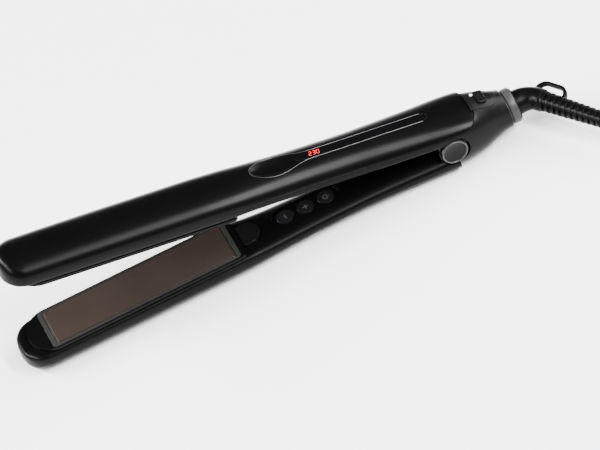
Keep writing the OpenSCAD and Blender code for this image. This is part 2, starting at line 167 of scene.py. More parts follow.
# ---- mesh helpers, in mm in a piece's own frame ----
JOINTS = {j["name"]: j for j in frame["record"]["behaviour"]["joints"]}
OPEN = math.radians(JOINTS["arm_hinge"]["range_deg"][1])
CLOSE_Z = JOINTS["arm_hinge"]["pos_m"][2] / MM
HINGE_X = JOINTS["arm_hinge"]["pos_m"][0] / MM
TO_M = Matrix.Scale(MM, 4)
AT_HINGE = Matrix.Translation((HINGE_X, 0, CLOSE_Z))
UPPER = TO_M @ AT_HINGE @ Matrix.Rotation(OPEN, 4, "Y")
LOWER = TO_M @ AT_HINGE @ Matrix.Scale(-1, 4, (0, 0, 1))
HOUSE = TO_M @ Matrix.Translation((0, 0, CLOSE_Z))
SWIVEL = TO_M @ Matrix.Translation((0, 0, SWIVEL_Z / MM))


def raw(name, verts, faces):
    """A mesh object with its faces turned outwards."""
    mesh = bpy.data.meshes.new(name)
    mesh.from_pydata([tuple(v) for v in verts], [], faces)
    mesh.validate()
    o = bpy.data.objects.new(name, mesh)
    bpy.context.scene.collection.objects.link(o)
    bm = bmesh.new()
    bm.from_mesh(mesh)
    bmesh.ops.recalc_face_normals(bm, faces=bm.faces)
    bm.to_mesh(mesh)
    bm.free()
    return o


def loft(name, rings, ends=True, closed=False):
    """A skin through rings of points; closed joins the last ring to the first."""
    m, n = len(rings[0]), len(rings)
    faces = [(i * m + k, i * m + (k + 1) % m, (i + 1) % n * m + (k + 1) % m, (i + 1) % n * m + k)
             for i in range(n if closed else n - 1) for k in range(m)]
    if ends and not closed:
        faces += [tuple(range(m)), tuple(range(n * m - m, n * m))]
    return raw(name, [p for r in rings for p in r], faces)


def prism(name, outline, a, b, axis="Z"):
    """An outline stood up along Z, or along Y with its second coordinate as Z."""
    place = (lambda p, h: (p[0], p[1], h)) if axis == "Z" else (lambda p, h: (p[0], h, p[1]))
    return loft(name, [[place(p, h) for p in outline] for h in (a, b)])


def lathe(name, profile, sides=96, axis="Y"):
    """A profile of (radius, height) turned about an axis."""
    rings = []
    for k in range(sides):
        c, s = math.cos(2 * math.pi * k / sides), math.sin(2 * math.pi * k / sides)
        put = {"X": lambda r, h: (h, r * c, r * s), "Y": lambda r, h: (r * c, h, r * s),
               "Z": lambda r, h: (r * c, r * s, h)}[axis]
        rings.append([put(r, h) for r, h in profile])
    return loft(name, rings, closed=True, ends=False)


def arc(cx, cy, r, a, b, n):
    """Points on a circle from angle a to angle b, in degrees."""
    return [(cx + r * math.cos(math.radians(a + (b - a) * k / n)),
             cy + r * math.sin(math.radians(a + (b - a) * k / n))) for k in range(n + 1)]


def round_box(x0, x1, y0, y1, r, n=8):
    return (arc(x1 - r, y1 - r, r, 0, 90, n) + arc(x0 + r, y1 - r, r, 90, 180, n)
            + arc(x0 + r, y0 + r, r, 180, 270, n) + arc(x1 - r, y0 + r, r, 270, 360, n))


def boolean(o, cutter, how="DIFFERENCE"):
    m = o.modifiers.new("cut", "BOOLEAN")
    m.operation = how
    m.solver = "EXACT"
    m.object = cutter
    done = bpy.data.meshes.new_from_object(o.evaluated_get(bpy.context.evaluated_depsgraph_get()))
    o.modifiers.clear()
    o.data = done
    bpy.data.objects.remove(cutter)


def smooth(mesh, degrees=32):
    mesh.polygons.foreach_set("use_smooth", [True] * len(mesh.polygons))
    mesh.set_sharp_from_angle(angle=math.radians(degrees))


def place(o, matrix, body, material, slot, replaced=(), degrees=32):
    """Moves a drawn piece into the row frame, gives it its body and finish, and hides the nodes it stands
    for.
    """
    o.data.transform(matrix)
    if matrix.determinant() < 0:
        o.data.flip_normals()
    smooth(o.data, degrees)
    o.data.materials.clear()
    o.data.materials.append(material)
    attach(o, body)
    if replaced:
        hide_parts(*replaced)
    return o


# ---- materials ----
def plastic(name, colour, rough, grain=0.0, scale=900, spread=0.12, edge=0.0003, metal=0.0, glow=0.0,
            shine=0.3):
    """Moulded plastic or coated metal: slight colour and gloss variation, fine grain, softened edges."""
    m = bpy.data.materials.new(name)
    m.use_nodes = True
    n, links = m.node_tree.nodes, m.node_tree.links
    shader = n["Principled BSDF"]
    where = n.new("ShaderNodeTexCoord")
    broad = n.new("ShaderNodeTexNoise")
    broad.inputs["Scale"].default_value = 45
    broad.inputs["Detail"].default_value = 4
    tint = n.new("ShaderNodeMapRange")
    tint.inputs["To Min"].default_value = 1 - spread
    tint.inputs["To Max"].default_value = 1 + spread
    mix = n.new("ShaderNodeVectorMath")
    mix.operation = "SCALE"
    mix.inputs[0].default_value = colour
    gloss = n.new("ShaderNodeMapRange")
    gloss.inputs["To Min"].default_value = rough * 0.85
    gloss.inputs["To Max"].default_value = rough * 1.15
    links.new(where.outputs["Object"], broad.inputs["Vector"])
    links.new(broad.outputs["Fac"], tint.inputs["Value"])
    links.new(broad.outputs["Fac"], gloss.inputs["Value"])
    links.new(tint.outputs["Result"], mix.inputs["Scale"])
    links.new(mix.outputs["Vector"], shader.inputs["Base Color"])
    links.new(gloss.outputs["Result"], shader.inputs["Roughness"])
    soft = n.new("ShaderNodeBevel")
    soft.samples = 4
    soft.inputs["Radius"].default_value = edge
    if grain:
        fine = n.new("ShaderNodeTexNoise")
        fine.inputs["Scale"].default_value = scale
        fine.inputs["Detail"].default_value = 3
        bump = n.new("ShaderNodeBump")
        bump.inputs["Strength"].default_value = grain
        bump.inputs["Distance"].default_value = 0.0001
        links.new(where.outputs["Object"], fine.inputs["Vector"])
        links.new(fine.outputs["Fac"], bump.inputs["Height"])
        links.new(soft.outputs["Normal"], bump.inputs["Normal"])
        links.new(bump.outputs["Normal"], shader.inputs["Normal"])
    else:
        links.new(soft.outputs["Normal"], shader.inputs["Normal"])
    shader.inputs["Metallic"].default_value = metal
    shader.inputs["Specular IOR Level"].default_value = shine
    if glow:
        links.new(mix.outputs["Vector"], shader.inputs["Emission Color"])
        shader.inputs["Emission Strength"].default_value = glow
    return m


GLOSS = plastic("gloss_black", (0.0012, 0.0012, 0.0013), 0.3, edge=0.0005, shine=0.055)
FRAME_M = plastic("frame_black", (0.0015, 0.0015, 0.0016), 0.3, grain=0.04, shine=0.05)
GASKET_M = plastic("gasket_grey", (0.012, 0.0125, 0.0115), 0.4, grain=0.15, edge=0.0003)
PAD_M = plastic("pad_black", (0.0022, 0.0022, 0.0024), 0.32, grain=0.15, edge=0.0004, shine=0.2)
PLATE_M = plastic("plate_coat", (0.021, 0.0148, 0.0118), 0.36, grain=0.04, scale=2500, metal=0.2, edge=0.0006)
SATIN = plastic("housing_grey", (0.0035, 0.0035, 0.0037), 0.34, grain=0.1, scale=2200, shine=0.06)
CAP_M = plastic("cap_grey", (0.0035, 0.0035, 0.0038), 0.32, grain=0.1, scale=2200, shine=0.07)
RIM_M = plastic("cap_rim", (0.02, 0.02, 0.021), 0.3, grain=0.05, shine=0.35)
COLLAR_M = plastic("collar_grey", (0.024, 0.024, 0.025), 0.36, grain=0.1, scale=2200, shine=0.16)
BUTTON_M = plastic("button_grey", (0.0045, 0.0045, 0.005), 0.3, grain=0.05, edge=0.0004, shine=0.2)
# lighter than the gloss black shell: a painted highlight along the dish and strip edge
LIP_HIGHLIGHT_M = plastic("lip_painted_highlight", (0.01, 0.01, 0.0105), 0.3, grain=0.05, edge=0.0001, shine=0.4)
MARK_M = plastic("mark_grey", (0.05, 0.05, 0.052), 0.5, grain=0.05, edge=0.00005)
DOT_M = plastic("dot_white", (0.7, 0.7, 0.7), 0.5, grain=0.05, edge=0.00005)
WINDOW_M = plastic("window_smoke", (0.0016, 0.0016, 0.0018), 0.12, edge=0.0003, shine=0.2)
DIGIT_M = plastic("digits_red", (0.62, 0.012, 0.02), 0.5, grain=0.02, edge=0.00003, glow=0.2)
RELIEF_M = plastic("relief_black", (0.0015, 0.0015, 0.0016), 0.32, grain=0.12, scale=1800, shine=0.06)
CORD_M = plastic("cord_black", (0.004, 0.004, 0.0043), 0.42, grain=0.2, scale=1500, shine=0.25)
TIE_M = plastic("tie_grey", (0.05, 0.05, 0.05), 0.6, grain=0.4, scale=1200)
PLUG_M = plastic("plug_black", (0.008, 0.008, 0.0085), 0.45, grain=0.25, scale=1500)
NICKEL = plastic("pin_nickel", (0.72, 0.7, 0.66), 0.22, grain=0.03, metal=1.0, shine=0.5)
STEEL = plastic("steel", (0.55, 0.55, 0.57), 0.3, grain=0.1, metal=1.0, shine=0.5)
BRASS = plastic("brass", (0.72, 0.52, 0.22), 0.3, grain=0.05, metal=1.0, shine=0.5)
PART_M = plastic("part_black", (0.02, 0.02, 0.022), 0.5, grain=0.2)
BOARD_M = plastic("board_green", (0.015, 0.12, 0.05), 0.35, grain=0.2)
LEAD_M = plastic("lead_red", (0.45, 0.05, 0.035), 0.4, grain=0.1)
HEATER_M = plastic("heater_ceramic", (0.62, 0.6, 0.55), 0.7, grain=0.4)
AMBER = plastic("sensor_amber", (0.6, 0.32, 0.1), 0.4, grain=0.1)


def dress(material, *nodes):
    """Gives CAD nodes their finish."""
    for name in nodes:
        o = frame["nodes"][name]
        o.data.materials.clear()
        o.data.materials.append(material)
        smooth(o.data, 25)


dress(FRAME_M, "lower_frame", "upper_frame", "control_bezel")
dress(GASKET_M, "lower_gasket", "upper_gasket")
dress(PAD_M, "lower_pad", "upper_pad")
dress(PLATE_M, "lower_plate", "upper_plate")
dress(HEATER_M, "lower_heater", "upper_heater")
dress(AMBER, "lower_sensor", "upper_sensor")
dress(STEEL, "lower_screws", "upper_screws", "lower_springs", "upper_springs", "hinge_pin", "hinge_spring",
      "thermal_fuse")
dress(BUTTON_M, "minus_button", "plus_button", "power_button")
dress(PART_M, "button_switches", "contact_block", "board_parts", "lock_catch", "swivel_barrel")
dress(BOARD_M, "control_board", "display_board")
dress(LEAD_M, "power_leads")
dress(SATIN, "collar_lip")
dress(BRASS, "slip_rings", "contact_brushes")
dress(NICKEL, "plug_pins")
dress(TIE_M, "hank_tie")
cord.data.materials.append(CORD_M)

# ---- shape of the arms: the stations of part.scad, joined by smooth curves ----
INNER, WALL = 2.7, 2.0
# from the hinge: distance, half width, upper arm's outside, lower arm's, inside, middle, two roundnesses
ARM_ROWS = [
    (-20, 14.6, 15.2, 16.7, INNER, 8.5, 2.45, 2.2), (-10, 15.2, 15.7, 16.7, INNER, 8.5, 2.45, 2.2),
    (0, 15.4, 15.9, 16.6, INNER, 8.5, 2.45, 2.2), (15, 14.6, 15.8, 15.8, INNER, 8.5, 2.45, 2.2),
    (35, 13.5, 15.4, 14.8, INNER, 8.3, 2.4, 2.2), (55, 13, 15.2, 14.4, INNER, 8, 2.35, 2.2),
    (75, 13.1, 15.4, 14.5, INNER, 8, 2.35, 2.2), (95, 13.8, 15.9, 15.2, INNER, 7.9, 2.4, 2.3),
    (108, 14.5, 16.2, 15.9, INNER, 7.7, 2.4, 2.8), (118, 15, 16.4, 16.4, INNER, 7.3, 2.4, 4),
    (135, 15.3, 16.6, 16.6, INNER, 7, 2.35, 5), (160, 15.4, 16.6, 16.6, INNER, 7, 2.3, 5),
    (185, 15.4, 16.5, 16.6, INNER, 7, 2.3, 5), (205, 15.4, 16.4, 16.6, INNER, 7, 2.3, 5),
    (220, 15.3, 16.2, 16.5, INNER, 7, 2.3, 5), (229, 15.2, 16.1, 16.4, INNER, 7, 2.3, 5),
    (233, 13.9, 16, 16.2, INNER, 7, 2.35, 5), (235.5, 12.3, 15.8, 15.9, 2.8, 7, 2.4, 4.5),
    (237.3, 10.4, 15.2, 15.2, 3, 7, 2.4, 4), (238.6, 8.3, 14.3, 14.3, 3.3, 7, 2.4, 4),
    (239.5, 6.1, 13.1, 13.1, 3.9, 7.2, 2.4, 3.5), (240, 3.6, 11.6, 11.6, 4.8, 7.6, 2.4, 3)]
# the upper arm's own half width, top, middle and roundness, rounder and a little fuller along the handle
UPPER_HANDLE = {
    0: (15.6, 15.9, 7.4, 2.35), 15: (15.3, 16, 6, 2.2), 35: (14.8, 16, 5, 2.1), 55: (14.3, 15.9, 4.6, 2.05),
    75: (14.3, 16, 4.8, 2.05), 95: (14.7, 16.2, 5.2, 2.1), 108: (15, 16.3, 5.8, 2.2),
    118: (15.2, 16.4, 6.4, 2.3)}
UPPER_ROWS = []
for row in ARM_ROWS:
    w, top, mid, n_up = UPPER_HANDLE.get(row[0], (row[1], row[2], row[5], row[6]))
    UPPER_ROWS.append((row[0], w, top, row[3], row[4], mid, n_up, row[7]))
# the rear housing: x, half width, top, bottom below the middle, middle, roundness
HOUSE_ROWS = [
    (99, 15.5, 15.2, 16.7, 0, 2.45), (104, 15.5, 15, 16.7, 0, 2.45), (110, 15.3, 14.6, 16.6, -0.2, 2.4),
    (116, 14.7, 13.9, 16.2, -0.6, 2.3), (121, 13.7, 12.7, 15, -1.1, 2.2), (126, 12.1, 11.1, 13.6, -1.7, 2.1),
    (130, 11, 9.3, 12.9, -2.2, 2), (133.5, 10.3, 7.7, 12.7, -2.6, 2), (134.3, 10.15, 7.3, 12.8, -2.7, 2)]
# the seam between housing and upper arm from the side, and the same with a small gap for the arm
SEAM = [(1, -30), (1, 0), (5.6, 6.2), (11, 8.6), (15.2, 10.4), (16.8, 11.8), (16.9, 13.2), (15.8, 15.6),
        (14.6, 18), (60, 18), (60, -30)]
SEAM_ROOM = [(0.6, -30), (0.6, 1), (5, 6.7), (10.8, 9.1), (14.9, 10.9), (16.3, 12.1), (16.4, 13.1),
             (15.3, 15.4), (14, 18.4), (60, 18.4), (60, -30)]


def between(rows, s):
    """A row at s on smooth curves through the rows."""
    i = max(0, min(len(rows) - 2, sum(r[0] <= s for r in rows) - 1))
    a, b = rows[i], rows[i + 1]
    before, after = rows[max(i - 1, 0)], rows[min(i + 2, len(rows) - 1)]
    h = b[0] - a[0]
    t = min(1, max(0, (s - a[0]) / h))
    out = [s]
    for j in range(1, len(a)):
        slope = (b[j] - a[j]) / h
        left = (a[j] - before[j]) / (a[0] - before[0]) if i > 0 else slope
        right = (after[j] - b[j]) / (after[0] - b[0]) if i + 2 < len(rows) else slope
        ma = 0 if left * slope <= 0 else 2 * left * slope / (left + slope)
        mb = 0 if right * slope <= 0 else 2 * right * slope / (right + slope)
        out.append(a[j] * (2 * t**3 - 3 * t**2 + 1) + b[j] * (3 * t**2 - 2 * t**3)
                   + h * ma * (t**3 - 2 * t**2 + t) + h * mb * (t**3 - t**2))
    return out


FINE = 160


def quarter(w, h, n, count):
    """Evenly spaced points of a quarter of a superellipse, from (w, 0) towards (0, h)."""
    fine = []
    for k in range(FINE + 1):
        a = math.pi / 2 * k / FINE
        c = math.cos(a) if k < FINE else 0.0
        fine.append((w * c ** (2 / n), h * math.sin(a) ** (2 / n)))
    steps = [0.0]
    for p, q in zip(fine, fine[1:]):
        steps.append(steps[-1] + math.dist(p, q))
    out, i = [], 0
    for k in range(count):
        want = steps[-1] * k / count
        while steps[i + 1] < want:
            i += 1
        t = (want - steps[i]) / (steps[i + 1] - steps[i])
        (ax, ay), (bx, by) = fine[i], fine[i + 1]
        out.append((ax + (bx - ax) * t, ay + (by - ay) * t))
    return out + [(0.0, h)]


def ring(x, w, up, down, mid, n_up, n_down, count):
    """A closed section at x: widest at mid, reaching up and down."""
    top = quarter(w, up - mid, n_up, count)
    low = quarter(w, mid - down, n_down, count)
    pts = [(y, mid + z) for y, z in top[:-1]]
    pts += [(-y, mid + z) for y, z in reversed(top[1:])]
    pts += [(-y, mid - z) for y, z in low[:-1]]
    pts += [(y, mid - z) for y, z in reversed(low[1:])]
    return [(x, y, z) for y, z in pts]


def arm_ring(s, t, inset, count, shrink=1.0, push=0.0):
    """An arm's section at s; t is the column of its outside, 2 for the upper arm and 3 for the lower."""
    r = between(UPPER_ROWS if t == 2 else ARM_ROWS, s)
    pts = ring(-s - push, r[1] - inset, r[t] - inset, r[4] + inset, r[5], r[6], r[7], count)
    if shrink == 1.0:
        return pts
    mid = (r[t] + r[4]) / 2
    return [(x, y * shrink, mid + (z - mid) * shrink) for x, y, z in pts]


def stations(a, b):
    """Where an arm's rings are: every few mm, and close together at the tip."""
    out = []
    s = a
    while s < b - 0.01:
        out.append(s)
        s += 2.0 if s < 226 else 0.7 if s < 236 else 0.25
    return out + [b]


def arm(name, t, a=-20, b=240, inset=0.0, count=24):
    rings = [arm_ring(s, t, inset, count) for s in stations(a, b)]
    if b >= 240:
        rings += [arm_ring(240, t, inset, count, shrink=math.cos(k), push=0.35 * math.sin(k))
                  for k in (0.35, 0.7, 1.0, 1.25, 1.42)]
    return loft(name, rings)


def frame_plan():
    tip_r, end, start = 12, -232.5, -117.8
    return (arc(end + tip_r, 13 - tip_r, tip_r, 90, 180, 12)
            + arc(end + tip_r, tip_r - 13, tip_r, 180, 270, 12)
            + arc(start - 2, -11, 2, 270, 360, 5) + arc(start - 2, 11, 2, 0, 90, 5))


def bowl(name, stations_, count=40):
    """A cutter with a rounded underside: (x, half width at the skin, skin height, depth)."""
    rise = 1.2
    turns = [2 * math.pi * j / count for j in range(count)]
    rings = []
    for x, half, top, depth in stations_:
        k = 1 / math.sqrt(max(1e-6, 1 - (rise / (rise + depth)) ** 2))
        rings.append([(x, half * k * math.cos(a), top + rise + (rise + depth) * math.sin(a)) for a in turns])
    return loft(name, rings)


def block(x0, x1, y0, y1, z0, z1):
    return prism("block", [(x1, y1), (x0, y1), (x0, y0), (x1, y0)], z0, z1)


def rod_y(r, y0, y1, x=0, z=0, sides=96):
    turns = [2 * math.pi * k / sides for k in range(sides)]
    return prism("rod", [(x + r * math.cos(a), z + r * math.sin(a)) for a in turns], y0, y1, "Y")


HANDLE_END = 117.5
EYE_CUT = 8.4


def pad_plan():
    """The small pad behind the plate: flat towards the tip, round behind."""
    return (arc(PAD_X - 1.4, 0, 7, -90, 90, 32) + arc(PAD_X - 4.6, 6, 1, 90, 180, 6)
            + arc(PAD_X - 4.6, -6, 1, 180, 270, 6))


def shell(name, t):
    """An arm's outer half: hollow, open over the handle and where the plate's frame lies."""
    o = arm(name, t)
    boolean(o, arm("cavity", t, b=236, inset=WALL, count=14))
    boolean(o, block(-HANDLE_END, 40, -20, 20, -5, 8))
    boolean(o, prism("frame", frame_plan(), -5, 9))
    return o


def cover(name, t):
    """The inner side of an arm's handle."""
    o = arm(name, t, a=0, b=HANDLE_END)
    boolean(o, arm("cavity", t, a=-5, b=HANDLE_END + 5, inset=WALL, count=14))
    boolean(o, block(-200, 40, -20, 20, 7.97, 30))
    boolean(o, rod_y(EYE_CUT, -20, 20))
    boolean(o, prism("pad", pad_plan(), -2, 3.4))
    return o


def capsule(x, length, width, n=24):
    half = (length - width) / 2
    return arc(x + half, 0, width / 2, -90, 90, n) + arc(x - half, 0, width / 2, 90, 270, n)


# ---- upper arm ----
# the thumb dish: a round head that narrows into the display strip
DISH_MID, DISH_HALF, DISH_W, STRIP_W = -94, 10.5, 6.8, 2.9
DISH_DEPTH = 1.6


def dish_width(x):
    """Half width of the teardrop at x."""
    u = x - DISH_MID
    if u <= 3:
        return DISH_W * math.sqrt(max(0.0, 1 - ((u - 3) / (DISH_HALF + 3)) ** 2))
    return STRIP_W + (DISH_W - STRIP_W) * (1 - ease((u - 3) / 19))


def dish_cutter():
    out = []
    for k in range(49):
        x = DISH_MID - DISH_HALF + 0.02 + (DISH_HALF * 2 + 14) * k / 48
        top = between(UPPER_ROWS, -x)[2]
        u = (x - DISH_MID) / DISH_HALF
        share = math.sqrt(max(0.0, 1 - min(1, abs(u)) ** 2)) if u < 0 else 1 - ease((u - 0.4) / 1.9)
        out.append((x, max(0.3, dish_width(x)), top, max(0.08, DISH_DEPTH * share)))
    return bowl("dish", out)


def upper_arm():
    o = shell("upper_shell_skin", 2)
    boolean(o, rod_y(EYE_CUT, -20, 20))
    boolean(o, prism("window", capsule(-44, 72, 6), 14.3, 20))
    boolean(o, dish_cutter())
    o.data.transform(Matrix.Rotation(OPEN, 4, "Y"))
    boolean(o, prism("seam", SEAM_ROOM, -40, 40, "Y"))
    o.data.transform(Matrix.Rotation(-OPEN, 4, "Y"))
    for side in (-1, 1):
        eye = prism("ear", arc(0, 0, 7.9, 0, 360, 72)[:-1], side * 9.6, side * 13.4, "Y")
        boolean(eye, rod_y(2.02, -20, 20, sides=48))
        web = block(-5, 5, min(side * 9.6, side * 13.4), max(side * 9.6, side * 13.4), 6.5, 11.2)
        place(eye, UPPER, "upper_arm", GLOSS, "gloss_black")
        place(web, UPPER, "upper_arm", GLOSS, "gloss_black")
        eye.name, web.name = f"hinge_ear_{side + 1}", f"hinge_web_{side + 1}"
    place(o, UPPER, "upper_arm", GLOSS, "gloss_black", ["upper_shell"])
    place(cover("upper_cover_skin", 2), UPPER, "upper_arm", GLOSS, "gloss_black", ["upper_cover"])
    pane = arm("display_window_pane", 2, a=4, b=84, inset=0.02)
    boolean(pane, prism("window", capsule(-44, 71.3, 5.3), 14.3, 20), "INTERSECT")
    boolean(pane, dish_cutter())
    place(pane, UPPER, "upper_arm", WINDOW_M, "window_smoke", ["display_window"])


def lip():
    """The rolled edge round the dish and the display strip, coloured lighter than the shell: a painted
    highlight along the edge.
    """
    line = []
    for side in (-1, 1):
        half = []
        for k in range(61):
            x = DISH_MID - DISH_HALF + 0.15 + 93 * (k / 60) ** 1.6
            r = between(UPPER_ROWS, -x)
            y = min(r[1], dish_width(x) + 0.1)
            z = r[5] + (r[2] - r[5]) * (1 - (y / r[1]) ** r[6]) ** (1 / r[6]) - 0.05
            half.append(Vector((x, side * y, z)))
        line += half[::-1] if side < 0 else half[1:]
    rings = []
    for i, p in enumerate(line):
        d = (line[min(i + 1, len(line) - 1)] - line[max(i - 1, 0)]).normalized()
        across = d.cross(Vector((0, 0, 1))).normalized()
        up = across.cross(d)
        rings.append([p + across * 0.2 * math.cos(math.pi * j / 5) + up * 0.2 * math.sin(math.pi * j / 5)
                      for j in range(10)])
    place(loft("dish_lip", rings), UPPER, "upper_arm", LIP_HIGHLIGHT_M, "gloss_black")


SEGMENTS = {"2": "abged", "3": "abgcd", "0": "abcdef"}


def digits():
    """Three lit seven-segment figures on the display strip, reading towards the hinge."""
    w, h, pitch, bar, x0 = 1.3, 2.7, 2.05, 0.36, -69.6 - 2.05
    top = between(UPPER_ROWS, 69.6)[2] + 0.01
    lines = {"a": ((0, h), (w, h)), "g": ((0, h / 2), (w, h / 2)), "d": ((0, 0), (w, 0)),
             "f": ((0, h), (0, h / 2)), "b": ((w, h), (w, h / 2)), "e": ((0, h / 2), (0, 0)),
             "c": ((w, h / 2), (w, 0))}
    verts, faces = [], []
    for i, figure in enumerate("230"):
        for key in SEGMENTS[figure]:
            (ax, ay), (bx, by) = lines[key]
            run = Vector((bx - ax, by - ay)).normalized()
            side = Vector((-run.y, run.x)) * bar / 2
            a, b = Vector((ax, ay)) + run * 0.08, Vector((bx, by)) - run * 0.08
            shape = [a, a + run * bar / 2 + side, b - run * bar / 2 + side, b, b - run * bar / 2 - side,
                     a + run * bar / 2 - side]
            base = len(verts)
            for z in (0, 0.05):
                for p in shape:
                    y = p.y - h / 2
                    verts.append((x0 - w / 2 + i * pitch + p.x + 0.12 * y, y, top - 0.012 * y * y + z))
            faces += [tuple(base + 6 + k for k in range(6))]
            faces += [(base + k, base + (k + 1) % 6, base + 6 + (k + 1) % 6, base + 6 + k) for k in range(6)]
    o = raw("display_figures", verts, faces)
    place(o, UPPER, "upper_arm", DIGIT_M, "digits_red", ["display_digits"], degrees=10)


# ---- lower arm ----
PANEL_X, PANEL_L, PANEL_W, PITCH = -79, 37, 13.5, 11.4
PAD_X = -110.6


def marks():
    """Printed signs on the keys: minus, plus and power."""
    z0, z1 = 3.1, 3.04
    bar = 0.45

    def flat(name, outlines, body, at):
        verts, faces = [], []
        for outline in outlines:
            base, n = len(verts), len(outline)
            for z in (z0, z1):
                verts += [(at + x, y, z) for x, y in outline]
            faces += [tuple(base + n + k for k in range(n))]
            faces += [(base + k, base + (k + 1) % n, base + n + (k + 1) % n, base + n + k) for k in range(n)]
        place(raw(name, verts, faces), LOWER, body, MARK_M, "button_grey", degrees=10)

    def box(x, y, a, b):
        return [(x + a, y + b), (x - a, y + b), (x - a, y - b), (x + a, y - b)]

    flat("minus_sign", [box(0, 0, bar / 2, 1.5)], "minus_key", PANEL_X - PITCH)
    flat("plus_sign", [box(0, 0, bar / 2, 1.5), box(0.87, 0, 0.63, bar / 2), box(-0.87, 0, 0.63, bar / 2)],
         "plus_key", PANEL_X)
    half = arc(0, 0, 1.6, 40, 320, 24) + arc(0, 0, 1.6 - bar, 320, 40, 24)
    flat("power_sign", [half, box(1.2, 0, 0.9, bar / 2)], "power_key", PANEL_X + PITCH)


def lower_arm():
    o = shell("lower_shell_skin", 3)
    boolean(o, block(-300, 60, -20, 20, CLOSE_Z, 30))
    boolean(o, prism("seam", [(x, -z) for x, z in SEAM], -40, 40, "Y"))
    for a, b in ((-20, -9.3), (9.3, 20)):
        boolean(o, rod_y(EYE_CUT, a, b))
    place(o, LOWER, "base", GLOSS, "gloss_black", ["lower_shell"])
    for side in (-1, 1):
        eye = prism(f"hinge_barrel_{side + 1}", arc(0, 0, 7.9, 0, 360, 72)[:-1], side * 3.4, side * 9.1, "Y")
        place(eye, LOWER, "base", GLOSS, "gloss_black")
    c = cover("lower_cover_skin", 3)
    boolean(c, prism("recess", capsule(PANEL_X, PANEL_L, PANEL_W), -2, 12))
    place(c, LOWER, "base", GLOSS, "gloss_black", ["lower_cover"])


upper_arm()
lip()
digits()
lower_arm()
marks()


# ---- rear housing, hinge caps, lock ----
def house_skin(name, grow):
    """The housing's outside, moved out by grow."""
    rings, x = [], 99.0
    while x <= 134.3:
        r = between(HOUSE_ROWS, x)
        rings.append(ring(x, r[1] + grow, r[2] + grow, -r[3] - grow, r[4], r[5], r[5], 24))
        x += 0.75
    return loft(name, rings)


def house():
    """The rear housing, hollow, cut along its seam with the upper arm."""
    o = house_skin("rear_housing_skin", 0)
    inner = [(r[0], r[1] - WALL, r[2] - WALL, r[3] - WALL, r[4], r[5]) for r in HOUSE_ROWS]
    inside = []
    for x in range(97, 130, 2):
        r = between(inner, x)
        inside.append(ring(x, r[1], r[2], -r[3], r[4], r[5], r[5], 14))
    boolean(o, loft("inside", inside))
    o.data.transform(Matrix.Translation((-HINGE_X, 0, 0)))
    boolean(o, prism("seam", SEAM, -40, 40, "Y"), "INTERSECT")
    boolean(o, rod_y(EYE_CUT, -20, 20))
    boolean(o, block(-10, 60, -20, 20, -30, -CLOSE_Z))
    o.data.transform(Matrix.Translation((HINGE_X, 0, 0)))
    place(o, HOUSE, "base", SATIN, "housing_grey", ["rear_housing"])


def welded(o):
    """Joins the points that a lathe leaves on its own axis."""
    bm = bmesh.new()
    bm.from_mesh(o.data)
    bmesh.ops.remove_doubles(bm, verts=bm.verts, dist=1e-4)
    bmesh.ops.recalc_face_normals(bm, faces=bm.faces)
    bm.to_mesh(o.data)
    bm.free()
    return o


def hinge_caps():
    """A dished disc in a lighter raised rim, on each end of the pin."""
    rim = [(5.85, 14.2), (7, 14.2), (7, 15.2)] + arc(6.55, 15.3, 0.45, 0, 180, 10) + [(5.85, 15.1)]
    dish = ([(0, 13.7), (7, 13.7), (7, 14.25), (5.9, 14.25), (5.9, 15.3)]
            + [(5.9 * (1 - k / 10), 14.5 + 0.8 * (1 - k / 10) ** 2) for k in range(1, 10)] + [(0, 14.5)])
    at = HOUSE @ Matrix.Translation((HINGE_X, 0, 0))
    for name, side in (("near", -1), ("far", 1)):
        place(welded(lathe(f"hinge_cap_{name}_disc", [(r, side * y) for r, y in dish])), at, "base", CAP_M,
              "cap_grey", [f"hinge_cap_{name}"])
        place(lathe(f"hinge_cap_{name}_rim", [(r, side * y) for r, y in rim]), at, "base", RIM_M, "cap_grey")


def collar():
    """The ring that the cord turns in, in a groove behind the housing."""
    bore = 6.3
    ring_ = [(bore, 134), (8.7, 134), (8.7, 134.9), (9.3, 135.3), (9.45, 135.8), (9.4, 138.7), (9.1, 139.3),
             (bore, 139.4)]
    place(lathe("collar_ring", ring_, 96, "X"), SWIVEL, "base", COLLAR_M, "collar_grey", ["swivel_collar"])


LOCK = TO_M @ Matrix.Translation((123.5, 0, CLOSE_Z + 12.3)) @ Matrix.Rotation(math.radians(17), 4, "Y")


